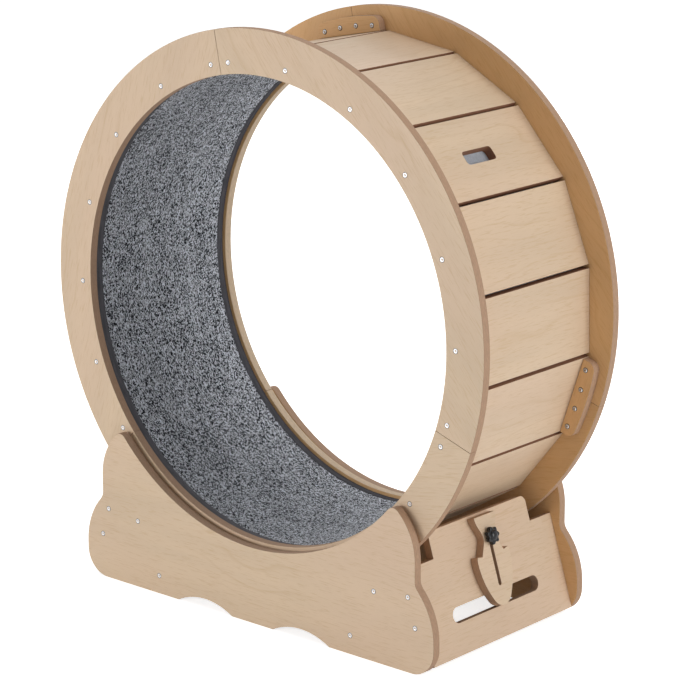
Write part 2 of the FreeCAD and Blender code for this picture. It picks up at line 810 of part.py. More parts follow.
def roller_bracket(label, side, face):
    """A folded steel fork on the roller board, its own Z away from the board at the axle's height."""
    body = new_body(label)
    sketch = new_sketch(body, "XZ_Plane", "Fold")
    inside, metal = BRACKET_INSIDE, "bracket_metal"
    outside = f"({inside} + {metal})"
    foot, tip = minus("roller_axle_standoff"), "(bracket_cheek_width / 2)"
    draw_loop(
        sketch,
        [
            (outside, foot),
            (outside, tip),
            (inside, tip),
            (inside, f"{foot} + {metal}"),
            (minus(inside), f"{foot} + {metal}"),
            (minus(inside), tip),
            (minus(outside), tip),
            (minus(outside), foot),
        ],
    )
    fork = pad(body, sketch, "bracket_cheek_width", "Fork")
    fork.Midplane = True
    doc.recompute()
    tips = []
    for number, edge in enumerate(fork.Shape.Edges, start=1):
        low, high = edge.Vertexes[0].Point, edge.Vertexes[-1].Point
        across = abs(high.x - low.x) > value(metal) / 2 and abs(high.z - low.z) < 0.01
        if across and low.z > 0 and edge.Length < 2 * value(metal):
            tips.append(f"Edge{number}")
    bevel = body.newObject("PartDesign::Chamfer", f"{label}_Tips")
    bevel.Base = (fork, tips)
    bevel.setExpression("Size", bound("bracket_cheek_width / 3"))
    doc.recompute()
    plate = new_sketch(body, "XZ_Plane", "PlateEdge")
    draw_loop(
        plate,
        [
            (outside, foot),
            (outside, f"{foot} + {metal}"),
            (minus(outside), f"{foot} + {metal}"),
            (minus(outside), foot),
        ],
    )
    flange = pad(body, plate, "bracket_plate_length", "Plate")
    flange.Midplane = True
    doc.recompute()
    axle = new_sketch(body, "YZ_Plane", "AxleHole")
    clear = f"((bearing_bore_radius + axle_clearance) / cos(180 / {ROLLER_SIDES}))"
    draw_polygon(axle, "0", "0", clear, ROLLER_SIDES)
    pocket_through(body, axle, "AxlePocket")
    holes = new_sketch(body, "XY_Plane", "ScrewHoles")
    for sign in ("", "-"):
        draw_polygon(holes, "0", f"{sign}bracket_screw_offset", "bracket_hole_radius", 6)
    pocket_through(body, holes, "ScrewPocket")
    rotation = roller_rotation(side) * turned(Y_AXIS, 180)
    body.Placement = FreeCAD.Placement(roller_centre(side, face), rotation)


def roller_axles():
    """Four riveted axle pins, each through its bracket and bearing, as one node of separate solids."""
    radius, half = value("bearing_bore_radius"), value(BRACKET_OUTSIDE)
    head, cap = value("axle_head_radius"), value("axle_head_height")
    room = value(PANEL_INNER_FACE) - value(RING_INNER_FACE) - value("board_thickness") / 2
    cap = min(cap, (room - half) * 0.8)
    profile = [
        (0, -half - cap),
        (head, -half - cap),
        (head, -half),
        (radius, -half),
        (radius, half),
        (head, half),
        (head, half + cap),
        (0, half + cap),
    ]
    pin = faceted(profile, ROLLER_SIDES)
    pins = []
    for side in (LEFT, RIGHT):
        for face in (FRONT, REAR):
            copy = pin.copy()
            copy.Placement = on_roller_axis(side, face)
            pins.append(copy)
    add_solid("roller_axles", Part.makeCompound(pins))


def bracket_screws():
    """Two short screws through each bracket's plate into the roller board."""
    places = []
    shank = value("screw_shank_radius")
    slope = value("screw_head_height") / (value("screw_head_radius") - shank)
    sunk = (value("bracket_hole_radius") - shank) * slope
    lift = value("board_thickness") / 2 + value("bracket_metal") + value("screw_head_height") - sunk
    for side in (LEFT, RIGHT):
        rotation = roller_rotation(side) * turned(Y_AXIS, 180)
        for face in (FRONT, REAR):
            middle = roller_centre(side, face)
            for sign in (-1, 1):
                up = value("roller_seat_height") + sign * value("bracket_screw_offset")
                point = roller_point(side, up, -lift)
                places.append((VECTOR(point.x, middle.y, point.z), rotation))
    screw_group("bracket_screws", "bracket_screw_length", places)


# ---------------------------------------------------------------- latch and knob
def latch_plate():
    """The sliding latch: a broad foot, shoulders, a narrow neck and a flared top that enters the hand hole."""
    body = new_body("latch_plate")
    sketch = new_sketch(body, "XY_Plane", "HalfOutline")
    top, top_half = "latch_length", "latch_top_half"
    neck, neck_z, neck_r, lean = "latch_neck_half", "latch_neck_height", "latch_neck_radius", "latch_neck_lean"
    shoulder, body_half, body_z = "latch_shoulder_height", "latch_body_half", "latch_body_height"
    foot, foot_lean = "latch_foot_radius", "latch_foot_lean"
    bend_x = f"{neck} + {neck_r} * (1 - cos({lean}))"
    bend_up, bend_low = f"{neck_z} + {neck_r} * sin({lean})", f"{neck_z} - {neck_r} * sin({lean})"
    notch_z = f"{shoulder} - latch_shoulder_dip"
    notch_x = f"{bend_x} + ({bend_low} - ({notch_z})) * tan({lean})"
    flare_x = f"{top_half} - latch_flare_radius * (1 - cos({lean}))"
    flare_z = f"{top} - latch_flare_radius * sin({lean})"
    foot_x, foot_z = f"{foot} * cos({foot_lean})", f"{foot} - {foot} * sin({foot_lean})"
    draw_loop(
        sketch,
        [
            (foot_x, foot_z, foot),
            (body_half, body_z, "latch_side_radius"),
            (f"{body_half} - latch_shoulder_step", shoulder, "latch_shoulder_radius"),
            (notch_x, notch_z),
            (bend_x, bend_low),
            (bend_x, bend_up, minus(neck_r)),
            (flare_x, flare_z),
            (top_half, top, "latch_flare_radius"),
            ("0", top),
            ("0", "0"),
        ],
    )
    half = pad(body, sketch, "latch_thickness")
    whole = body.newObject("PartDesign::Mirrored", "latch_plate_Mirrored")
    whole.Originals = [half]
    plane = next(item for item in body.Origin.OriginFeatures if item.Role == "YZ_Plane")
    whole.MirrorPlane = (plane, [""])
    body.Tip = whole
    doc.recompute()
    slot = new_sketch(body, "XY_Plane", "Slot")
    wide, low, high = "latch_slot_half_width", "latch_slot_bottom", "latch_slot_top"
    draw_loop(
        slot,
        [
            (wide, f"{high} - {wide}"),
            ("0", high, wide),
            (minus(wide), f"{high} - {wide}", wide),
            (minus(wide), f"{low} + {wide}"),
            ("0", low, wide),
            (wide, f"{low} + {wide}", wide),
        ],
    )
    pocket_through(body, slot, "SlotPocket")
    place = end_point(RIGHT, value("latch_foot_height"), value("latch_clearance"))
    body.Placement = FreeCAD.Placement(place, end_rotation(RIGHT))


def on_stud(out):
    return FreeCAD.Placement(end_point(RIGHT, value("stud_height"), out), end_rotation(RIGHT))


KNOB_UNDERSIDE = "2 * latch_clearance + latch_thickness + washer_thickness"
KNOB_TOP = "(knob_collar_height + knob_head_height)"


def star_knob():
    """A clamping knob with round lobes and a domed middle, bored for its stud."""
    core, lobe, count = value("knob_core_radius"), value("knob_lobe_radius"), round(value("knob_lobe_count"))
    stud, collar = value("stud_radius") / math.cos(math.pi / (5 * count)), value("knob_collar_radius")
    base, top = value("knob_collar_height"), value(KNOB_TOP)

    def lobed(radius, turn):
        if radius < core:
            return radius
        return radius + lobe * (0.5 + 0.5 * math.cos(count * turn))

    profile = [
        (stud, 0),
        (collar, 0),
        (collar, base),
        (core, base),
        (core, top),
        (core * 0.8, top),
        (core * 0.5, top + value("knob_dome_height") * 0.8),
        (0, top + value("knob_dome_height")),
        (0, top - 3),
        (stud, top - 3),
    ]
    add_solid("star_knob", faceted(profile, 5 * count, lobed), on_stud(value(KNOB_UNDERSIDE)))


def knob_stud():
    """The threaded stud moulded into the knob, as a plain pin."""
    inner = value("board_thickness + stud_end_proud")
    outer = value(f"{KNOB_UNDERSIDE} + {KNOB_TOP} - 3")
    radius = value("stud_radius")
    pin = faceted([(0, 0), (radius, 0), (radius, inner + outer), (0, inner + outer)], STUD_SIDES)
    add_solid("knob_stud", pin, on_stud(-inner))


def stud_washer():
    """A flat washer between the knob and the latch."""
    bore, rim, thick = value("stud_radius"), value("washer_radius"), value("washer_thickness")
    ring = faceted([(bore, 0), (rim, 0), (rim, thick), (bore, thick)], STUD_SIDES)
    add_solid("stud_washer", ring, on_stud(value(KNOB_UNDERSIDE) - thick))


def tee_nut():
    """A tee nut let into the end board from inside, which the stud screws into."""
    bore = value("stud_radius + axle_clearance") / math.cos(math.pi / STUD_SIDES)
    barrel, flange = value("tee_nut_barrel_radius"), value("tee_nut_flange_radius")
    back, length = -value("tee_nut_flange"), value("tee_nut_barrel_length")
    profile = [(bore, back), (flange, back), (flange, 0), (barrel, 0), (barrel, length), (bore, length)]
    add_solid("tee_nut", faceted(profile, STUD_SIDES), on_stud(-value("board_thickness")))


# ---------------------------------------------------------------- assembly
for ring_name, ring_side in (("front", FRONT), ("rear", REAR)):
    for number in range(round(value("segment_count"))):
        ring_segment(f"{ring_name}_ring_segment_{number + 1}", number, ring_side)
        splice(f"{ring_name}_splice_{number + 1}", number, ring_side)
for number in range(round(value("slat_count"))):
    slat(f"slat_{number + 1:02d}", number)
running_mat()
ring_screws()
splice_screws()
side_panel("front_side_panel", FRONT)
side_panel("rear_side_panel", REAR)
for end_name, end_side in (("left", LEFT), ("right", RIGHT)):
    end_board(f"{end_name}_end_board", end_side)
    roller_board(f"{end_name}_roller_board", end_side)
    for face_name, face_side in (("front", FRONT), ("rear", REAR)):
        place_name = f"{face_name}_{end_name}"
        roller(f"roller_{place_name}", end_side, face_side)
        roller_bearing(f"bearing_{place_name}", end_side, face_side)
        roller_bracket(f"roller_bracket_{place_name}", end_side, face_side)
panel_screws()
roller_axles()
bracket_screws()
latch_plate()
star_knob()
knob_stud()
stud_washer()
tee_nut()
doc.recompute()

for item in doc.Objects:
    if "Invalid" in item.State or "Error" in item.State:
        raise RuntimeError(f"{item.Name} failed: {item.State}")
for node in nodes:
    shape = node.Shape
    if shape.isNull() or not shape.isValid():
        raise RuntimeError(f"{node.Label} has no valid shape")
    shape.exportStep(f"parts/{node.Label}.step")
print(len(nodes), "nodes written")
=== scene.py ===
import json
import math

import bmesh
import bpy
import numpy as np
from mathutils import Matrix, Vector, noise


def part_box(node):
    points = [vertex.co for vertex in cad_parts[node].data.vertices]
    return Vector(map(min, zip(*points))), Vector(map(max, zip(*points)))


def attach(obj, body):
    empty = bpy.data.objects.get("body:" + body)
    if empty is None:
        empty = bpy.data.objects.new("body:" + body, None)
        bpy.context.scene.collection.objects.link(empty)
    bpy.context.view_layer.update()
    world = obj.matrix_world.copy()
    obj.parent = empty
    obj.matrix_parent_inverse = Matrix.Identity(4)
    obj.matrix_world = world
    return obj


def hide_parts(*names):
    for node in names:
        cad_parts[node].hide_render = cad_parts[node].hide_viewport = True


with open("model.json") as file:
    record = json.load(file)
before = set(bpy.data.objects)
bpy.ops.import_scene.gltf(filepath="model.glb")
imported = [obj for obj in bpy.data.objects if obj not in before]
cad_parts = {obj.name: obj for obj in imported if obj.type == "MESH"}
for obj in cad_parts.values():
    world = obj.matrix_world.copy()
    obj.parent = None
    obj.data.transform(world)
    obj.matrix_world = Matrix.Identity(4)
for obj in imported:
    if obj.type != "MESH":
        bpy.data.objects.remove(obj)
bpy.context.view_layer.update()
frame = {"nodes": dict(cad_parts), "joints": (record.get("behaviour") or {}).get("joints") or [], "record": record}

bl_info = {
    "name": "Cat Exercise Wheel",
    "version": (1, 0, 0),
    "blender": (4, 5, 0),
    "location": "View3D > Sidebar > Exercise Wheel",
    "description": "Dresses the wheel's boards, mat, screws, rollers and latch",
    "category": "Object",
}

MM = 0.001
NODES = frame["nodes"]
BODY_OF = {node: body for body, nodes in frame["record"]["behaviour"]["bodies"].items() for node in nodes}
JOINTS = {joint["name"]: joint for joint in frame["joints"]}
AXLE = Vector(JOINTS["wheel_spin"]["pos_m"])
ALONG_AXLE = Vector((0, 1, 0))

BOARDS = [
    node
    for node in sorted(NODES)
    if node.startswith("slat_")
    or node.endswith(("_board", "_panel"))
    or "_ring_segment_" in node
    or "_splice_" in node
] + ["latch_plate"]
SLATS = [node for node in BOARDS if node.startswith("slat_")]
BRACKETS = [node for node in sorted(NODES) if node.startswith("roller_bracket_")]
ROLLERS = [
    node for node in sorted(NODES) if node.startswith("roller_") and node not in BRACKETS + ["roller_axles"]
]

JOIN_WITHIN = 2e-6  # metres between points of a solid that are one
FLAT_WITHIN = math.radians(0.4)
SHARP_FROM = math.radians(28)
HEAD_CORNERS = 6  # the solids' screw heads are six-sided

# A board's materials, in the order of its slots.
# The third to fifth slots hold painted light and shade: warm bounce light on inner faces, light on the rear ring's
# bore, shade between slats.
FACE, EDGE, PAINTED_BOUNCE, PAINTED_LIT_BORE, PAINTED_GAP_SHADE = range(5)
FACE_ON = 0.6  # least cosine at which a face counts as looking in a direction
END_ON = 0.2  # the same for the rounded end of a slat
SLAT_ROUNDING = 1.7  # the rounding of a slat, times that of other boards
PATTERN_STEP = Vector((1.71, 0.83, 0))  # metres from one board's pattern to the next

MAT_OUTER = 393.35 * MM
MAT_INNER = 388.5 * MM
MAT_HALF = 156.6 * MM
MAT_UNDER_TAPE = 3.0 * MM  # how far the pile stops short of the mat's edge
MAT_ROWS = 36
PILE_DEPTH = 2.0 * MM  # how far out from the inside of the mat it ripples
BAND_STEPS = 240
RIB_PITCH = 8.5 * MM
WEFT_PITCH = 4.0 * MM

GOLDEN_ANGLE = 2.399  # turns each screw's socket another way
KNOB_UNDERSIDE = 16.6 * MM
KNOB_LOBES = 7
LOBE_REACH = 3.15 * MM
LOBED_FROM = 9.0 * MM
STUD_START = -18.0  # millimetres from the joint
STUD_TURNS = 34

FLOOR_SIZE = 14.0
FLOOR_GLOW = 0.78
LAMPS = (
    # name, place, size, power
    ("key", (-1.4, -4.2, 0.45), 2.0, 110.0),
    ("right", (4.1, 0.6, 1.4), 2.0, 71.0),
    ("top", (0.3, 0.4, 4.2), 2.0, 38.0),
    ("back", (-1.2, 4.2, 1.6), 2.4, 80.0),
)
LAMPS_AIM = Vector((0, 0, 0.45))
CAMERA_AIM = Vector((0.0219, 0, 0.4428))
CAMERA_TURN = math.radians(41.0)
CAMERA_LIFT = math.radians(15.09)
CAMERA_DISTANCE = 4.6046
CAMERA_LENS = 149.0


# ---------------------------------------------------------------- nodes of a material
def new_material(name):
    """A material with its node tree and its main shader."""
    material = bpy.data.materials.new(name)
    material.use_nodes = True
    tree = material.node_tree
    shader = tree.nodes["Principled BSDF"]
    return material, tree, shader


def add(tree, kind, inputs=None, **settings):
    """A shader node; an input is a plain value or the socket that feeds it."""
    node = tree.nodes.new("ShaderNode" + kind)
    for name, setting in settings.items():
        setattr(node, name, setting)
    for key, value in (inputs or {}).items():
        if isinstance(value, bpy.types.NodeSocket):
            tree.links.new(value, node.inputs[key])
        else:
            node.inputs[key].default_value = value
    return node


def stretched(tree, coordinates, scale):
    """The coordinates, in metres, times a number for each axis."""
    return add(tree, "VectorMath", {0: coordinates, 1: scale}, operation="MULTIPLY").outputs[0]


def noise_of(tree, coordinates, scale, detail=2.0):
    """Noise with as many grains to the metre as the scale says, for each axis."""
    vector = stretched(tree, coordinates, scale)
    inputs = {"Vector": vector, "Scale": 1.0, "Detail": detail, "Roughness": 0.5}
    return add(tree, "TexNoise", inputs).outputs["Fac"]


def math_of(tree, operation, first, second=0.0):
    """One sum on numbers or sockets."""
    return add(tree, "Math", {0: first, 1: second}, operation=operation).outputs[0]


def ramp(tree, factor, *stops):
    """Colours or greys at positions from 0 to 1."""
    node = add(tree, "ValToRGB", {"Fac": factor})
    elements = node.color_ramp.elements
    while len(elements) < len(stops):
        elements.new(0.5)
    for element, (position, colour) in zip(elements, stops):
        element.position = position
        element.color = (*colour, 1.0) if hasattr(colour, "__len__") else (colour, colour, colour, 1.0)
    return node.outputs["Color"]


def mixed(tree, factor, first, second, blend="MIX"):
    """Two colours blended; each is a colour or the socket that gives one."""
    node = tree.nodes.new("ShaderNodeMix")
    node.data_type = "RGBA"
    node.blend_type = blend
    for index, value in ((0, factor), (6, first), (7, second)):
        if isinstance(value, bpy.types.NodeSocket):
            tree.links.new(value, node.inputs[index])
        elif index == 0:
            node.inputs[0].default_value = value
        else:
            node.inputs[index].default_value = (*value, 1.0)
    return node.outputs[2]


def bumped(tree, shader, height, distance):
    """Relief on the surface, with its depth in metres."""
    bump = add(tree, "Bump", {"Height": height, "Distance": distance, "Strength": 1.0})
    tree.links.new(bump.outputs[0], shader.inputs["Normal"])


def directly_seen(tree):
    """1 for a camera, glossy or transmission ray, and 0 for the light that falls on things."""
    path = add(tree, "LightPath")
    seen = math_of(tree, "MAXIMUM", path.outputs["Is Camera Ray"], path.outputs["Is Glossy Ray"])
    return math_of(tree, "MAXIMUM", seen, path.outputs["Is Transmission Ray"])


def scaled_colour(colour, factor):
    """The colour made lighter or darker."""
    return tuple(min(1.0, part * factor) for part in colour)


# ---------------------------------------------------------------- finishes
def veneer_material(name, colour):
    """A pale hardwood veneer: soft bands along the grain, thin figure lines and short flecks."""
    material, tree, shader = new_material(name)
    grain = add(tree, "Attribute", attribute_name="grain").outputs["Vector"]
    bands = noise_of(tree, grain, (1.6, 16.0, 16.0), 3.0)
    light, dark = scaled_colour(colour, 1.06), scaled_colour(colour, 0.93)
    tone = ramp(tree, bands, (0.3, dark), (0.7, light))
    blush = noise_of(tree, grain, (2.1, 4.0, 4.0), 1.0)
    pink = (colour[0] * 1.03, colour[1] * 0.99, colour[2] * 1.02)
    tone = mixed(tree, ramp(tree, blush, (0.4, 0.0), (0.7, 0.8)), tone, pink)

    across = add(tree, "SeparateXYZ", {0: grain}).outputs["Y"]
    rings = math_of(tree, "MULTIPLY", across, 38.0)
    wander = math_of(tree, "MULTIPLY", noise_of(tree, grain, (3.2, 9.0, 9.0), 1.5), 5.5)
    saw = math_of(tree, "FRACT", math_of(tree, "ADD", rings, wander))
    line = ramp(tree, saw, (0.0, 0.0), (0.78, 0.0), (0.93, 1.0), (1.0, 0.0))
    patch = ramp(tree, noise_of(tree, grain, (4.0, 11.0, 11.0), 1.0), (0.42, 0.0), (0.62, 1.0))
    figure = math_of(tree, "MULTIPLY", line, patch)
    brown = (colour[0] * 0.8, colour[1] * 0.69, colour[2] * 0.52)
    tone = mixed(tree, math_of(tree, "MULTIPLY", figure, 0.29), tone, brown)

    flecks = noise_of(tree, grain, (42.0, 620.0, 620.0), 1.0)
    fleck = ramp(tree, flecks, (0.56, 0.0), (0.68, 1.0))
    tone = mixed(tree, math_of(tree, "MULTIPLY", fleck, 0.36), tone, brown)
    pores = noise_of(tree, grain, (120.0, 2600.0, 2600.0), 1.0)
    tone = mixed(tree, 0.12, tone, ramp(tree, pores, (0.3, 0.75), (0.7, 1.0)), "MULTIPLY")
    tree.links.new(tone, shader.inputs["Base Color"])
    rough = ramp(tree, noise_of(tree, grain, (8.0, 60.0, 60.0)), (0.3, 0.42), (0.7, 0.54))
    tree.links.new(rough, shader.inputs["Roughness"])
    shader.inputs["Specular IOR Level"].default_value = 0.35
    bumped(tree, shader, pores, 0.00006)
    return material


def edge_material(name, colour):
    """The sawn edge of the board: brown fibre pressed in thin layers, darker near the faces."""
    material, tree, shader = new_material(name)
    grain = add(tree, "Attribute", attribute_name="grain").outputs["Vector"]
    depth = math_of(tree, "ABSOLUTE", add(tree, "SeparateXYZ", {0: grain}).outputs["Z"])
    fibre = noise_of(tree, grain, (160.0, 160.0, 900.0), 3.0)
    tone = ramp(tree, fibre, (0.3, scaled_colour(colour, 0.86)), (0.7, scaled_colour(colour, 1.12)))
    skin = ramp(tree, math_of(tree, "MULTIPLY", depth, 100.0), (0.60, 0.0), (0.70, 0.45))
    tone = mixed(tree, skin, tone, scaled_colour(colour, 0.62))
    tree.links.new(tone, shader.inputs["Base Color"])
    tree.links.new(ramp(tree, fibre, (0.3, 0.62), (0.7, 0.8)), shader.inputs["Roughness"])
    shader.inputs["Specular IOR Level"].default_value = 0.25
    bumped(tree, shader, fibre, 0.00012)
    return material


def carpet_material(dark, light):
    """Low loop pile in rows along the mat, of dark and light yarn."""
    material, tree, shader = new_material("marled loop pile")
    weave = add(tree, "UVMap", uv_map="weave").outputs[0]
    place = stretched(tree, weave, (430.0, 610.0, 1.0))
    loops = add(tree, "TexVoronoi", {"Vector": place, "Scale": 1.0, "Randomness": 0.75})
    yarn = add(tree, "SeparateColor", {0: loops.outputs["Color"]}).outputs[0]
    drift = noise_of(tree, weave, (9.0, 22.0, 1.0), 2.0)
    drift = math_of(tree, "MULTIPLY", math_of(tree, "SUBTRACT", drift, 0.5), 0.35)
    share = math_of(tree, "ADD", yarn, drift)
    middle = tuple((first + last) * 0.4 for first, last in zip(dark, light))
    tone = ramp(tree, share, (0.3, dark), (0.46, middle), (0.6, light))
    streak = ramp(tree, noise_of(tree, weave, (2.5, 150.0, 1.0), 1.0), (0.3, 0.78), (0.7, 1.0))
    tone = mixed(tree, 0.8, tone, streak, "MULTIPLY")
    across = add(tree, "SeparateXYZ", {0: weave}).outputs["Y"]
    rib = math_of(tree, "SINE", math_of(tree, "MULTIPLY", across, 2 * math.pi / RIB_PITCH))
    shade = ramp(tree, rib, (0.0, 1.0), (1.0, 0.86))
    tone = mixed(tree, 0.6, tone, shade, "MULTIPLY")
    # Painted shade: the pile darkens in the low places between the loops.
    painted_hollow_shade = ramp(tree, loops.outputs["Distance"], (0.42, 1.0), (0.85, 0.3))
    tone = mixed(tree, 0.8, tone, painted_hollow_shade, "MULTIPLY")
    tree.links.new(tone, shader.inputs["Base Color"])
    shader.inputs["Roughness"].default_value = 0.95
    shader.inputs["Specular IOR Level"].default_value = 0.1
    shader.inputs["Sheen Weight"].default_value = 0.1
    height = math_of(tree, "SUBTRACT", math_of(tree, "MULTIPLY", rib, 0.12), loops.outputs["Distance"])
    bumped(tree, shader, height, 0.0009)
    return material


def backing_material(colour):
    """The mat's pale woven back, seen through the hand hole."""
    material, tree, shader = new_material("mat backing")
    weave = add(tree, "UVMap", uv_map="weave").outputs[0]
    weft = add(tree, "SeparateXYZ", {0: weave}).outputs["Y"]
    rows = math_of(tree, "SINE", math_of(tree, "MULTIPLY", weft, 2 * math.pi / WEFT_PITCH))
    cloudy = noise_of(tree, weave, (120.0, 300.0, 1.0), 2.0)
    tone = ramp(tree, cloudy, (0.3, scaled_colour(colour, 0.82)), (0.7, scaled_colour(colour, 1.12)))
    tone = mixed(tree, 0.5, tone, ramp(tree, rows, (0.0, 1.0), (1.0, 0.72)), "MULTIPLY")
    tree.links.new(tone, shader.inputs["Base Color"])
    shader.inputs["Roughness"].default_value = 0.9
    bumped(tree, shader, rows, 0.0002)
    return material


def binding_material(colour):
    """Dark woven tape, folded over the mat's edge and stitched down."""
    material, tree, shader = new_material("edge tape")
    weave = add(tree, "UVMap", uv_map="weave").outputs[0]
    place = stretched(tree, weave, (900.0, 1400.0, 1.0))
    threads = add(tree, "TexVoronoi", {"Vector": place, "Scale": 1.0})
    wear = noise_of(tree, weave, (30.0, 200.0, 1.0), 2.0)
    tone = ramp(tree, wear, (0.3, scaled_colour(colour, 0.8)), (0.7, scaled_colour(colour, 1.25)))
    # Painted shade: the tape darkens in the low places between the threads.
    painted_hollow_shade = ramp(tree, threads.outputs["Distance"], (0.2, 1.0), (0.8, 0.55))
    tone = mixed(tree, 0.5, tone, painted_hollow_shade, "MULTIPLY")
    tree.links.new(tone, shader.inputs["Base Color"])
    shader.inputs["Roughness"].default_value = 0.85
    shader.inputs["Specular IOR Level"].default_value = 0.2
    bumped(tree, shader, threads.outputs["Distance"], -0.0003)
    return material


def metal_material(name, colour, roughness, streaks):
    """Plated or ground steel with fine brushing and a little uneven shine."""
    material, tree, shader = new_material(name)
    place = add(tree, "TexCoord").outputs["Object"]
    brushing = noise_of(tree, place, streaks, 2.0)
    spots = noise_of(tree, place, (260.0, 260.0, 260.0), 3.0)
    tone = ramp(tree, spots, (0.3, scaled_colour(colour, 0.88)), (0.7, scaled_colour(colour, 1.06)))
    tree.links.new(tone, shader.inputs["Base Color"])
    low, high = roughness * 0.8, roughness * 1.25
    tree.links.new(ramp(tree, brushing, (0.3, low), (0.7, high)), shader.inputs["Roughness"])
    shader.inputs["Metallic"].default_value = 1.0
    bumped(tree, shader, brushing, 0.00004)
    return material


def moulded_material(name, colour, roughness, coat):
    """Moulded plastic with a faint texture; a coat makes it glossy."""
    material, tree, shader = new_material(name)
    place = add(tree, "TexCoord").outputs["Object"]
    texture = noise_of(tree, place, (900.0, 900.0, 900.0), 2.0)
    cloudy = noise_of(tree, place, (70.0, 70.0, 70.0))
    tone = ramp(tree, cloudy, (0.3, scaled_colour(colour, 0.85)), (0.7, colour))
    tree.links.new(tone, shader.inputs["Base Color"])
    rough = ramp(tree, texture, (0.3, roughness * 0.85), (0.7, roughness * 1.15))
    tree.links.new(rough, shader.inputs["Roughness"])
    shader.inputs["Specular IOR Level"].default_value = 0.22
    shader.inputs["Coat Weight"].default_value = coat
    shader.inputs["Coat Roughness"].default_value = 0.08
    bumped(tree, shader, texture, 0.00003)
    return material


def floor_material(colour):
    """A pale floor that keeps the wheel's shadow and is near white to the camera."""
    material, tree, shader = new_material("pale floor")
    place = add(tree, "TexCoord").outputs["Object"]
    cloudy = noise_of(tree, place, (0.6, 0.6, 0.6))
    tone = ramp(tree, cloudy, (0.3, scaled_colour(colour, 0.99)), (0.7, colour))
    tree.links.new(tone, shader.inputs["Base Color"])
    shader.inputs["Roughness"].default_value = 0.9
    shader.inputs["Specular IOR Level"].default_value = 0.0
    strength = math_of(tree, "MULTIPLY", directly_seen(tree), FLOOR_GLOW)
    glow = add(tree, "Emission", {"Color": (1, 1, 1, 1), "Strength": strength})
    both = add(tree, "AddShader", {0: shader.outputs[0], 1: glow.outputs[0]})
    tree.links.new(both.outputs[0], tree.nodes["Material Output"].inputs["Surface"])
    return material


# ---------------------------------------------------------------- meshes
def merged(node):
    """A copy of a solid's mesh with its points joined."""
    bm = bmesh.new()
    bm.from_mesh(NODES[node].data)
    bmesh.ops.remove_doubles(bm, verts=bm.verts, dist=JOIN_WITHIN)
    return bm


def ease(bm, width):
    """Join the flat faces and round the sharp edges over."""
    bmesh.ops.dissolve_limit(bm, angle_limit=FLAT_WITHIN, verts=bm.verts, edges=bm.edges)
    sharp = [edge for edge in bm.edges if edge.is_manifold and edge.calc_face_angle() > SHARP_FROM]
    bmesh.ops.bevel(
        bm,
        geom=sharp,
        offset=width,
        offset_type="OFFSET",
        affect="EDGES",
        segments=2,
        profile=0.5,
        clamp_overlap=True,
        material=-1,
    )


def placed(name, data):
    """A new object in the scene."""
    made = bpy.data.objects.new(name, data)
    bpy.context.scene.collection.objects.link(made)
    return made


def aimed(thing, place, direction):
    """Put a lamp or camera at a place and point it."""
    thing.location = place
    thing.rotation_mode = "QUATERNION"
    thing.rotation_quaternion = direction.to_track_quat("-Z", "Y")


def piece(name, bm, materials, slot, *nodes, crease=19.0):
    """Make the mesh an object that stands for the solids named, on their body."""
    mesh = bpy.data.meshes.new(name)
    bm.to_mesh(mesh)
    bm.free()
    for material in materials:
        mesh.materials.append(material)
    for polygon in mesh.polygons:
        polygon.use_smooth = True
    mesh.set_sharp_from_angle(angle=math.radians(crease))
    made = placed(name, mesh)
    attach(made, BODY_OF[nodes[0]])
    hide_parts(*nodes)
    return made


def stack_rings(bm, rings, matrix, closed=False, reach=None, dark=()):
    """A turned form from circles of (corners, radius, height), joined one to the next.

    The joins that dark lists take the piece's second material, which the screws use for painted shade.
    """
    loops = []
    for corners, radius, height in rings:
        lift = Matrix.Translation((0, 0, height))
        circle = bmesh.ops.create_circle(bm, segments=corners, radius=radius, matrix=lift)["verts"]
        if reach:
            for vert in circle:
                turn = math.atan2(vert.co.y, vert.co.x)
                vert.co.xy = vert.co.xy.normalized() * reach(radius, turn)
        edges = list(dict.fromkeys(edge for vert in circle for edge in vert.link_edges))
        loops.append((circle, edges))
    pairs = list(zip(loops, loops[1:]))
    if closed:
        pairs.append((loops[-1], loops[0]))
    for index, (first, second) in enumerate(pairs):
        for polygon in bmesh.ops.bridge_loops(bm, edges=first[1] + second[1])["faces"]:
            polygon.material_index = int(index in dark)
    if not closed:
        for (_, edges), index in ((loops[0], int(0 in dark)), (loops[-1], 0)):
            bmesh.ops.edgeloop_fill(bm, edges=edges, mat_nr=index)
    verts = [vert for circle, _ in loops for vert in circle]
    faces = list(dict.fromkeys(face for vert in verts for face in vert.link_faces))
    bmesh.ops.recalc_face_normals(bm, faces=faces)
    bmesh.ops.transform(bm, matrix=matrix, verts=verts)


def turned(bm, corners, outline, matrix, **settings):
    """A turned form from an outline of (radius, height) in millimetres."""
    rings = [(corners, radius * MM, height * MM) for radius, height in outline]
    stack_rings(bm, rings, matrix, **settings)


def both_ends(half, *between):
    """An outline that ends the same way below as above."""
    return [(radius, -height) for radius, height in half] + [*between] + half[::-1]


def facing(place, direction):
    """The matrix that puts a form drawn along +Z at a place, looking in a direction."""
    return Matrix.Translation(place) @ direction.to_track_quat("Z", "Y").to_matrix().to_4x4()


def middle_of(node):
    """The middle of a solid's box."""
    low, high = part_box(node)
    return (low + high) / 2


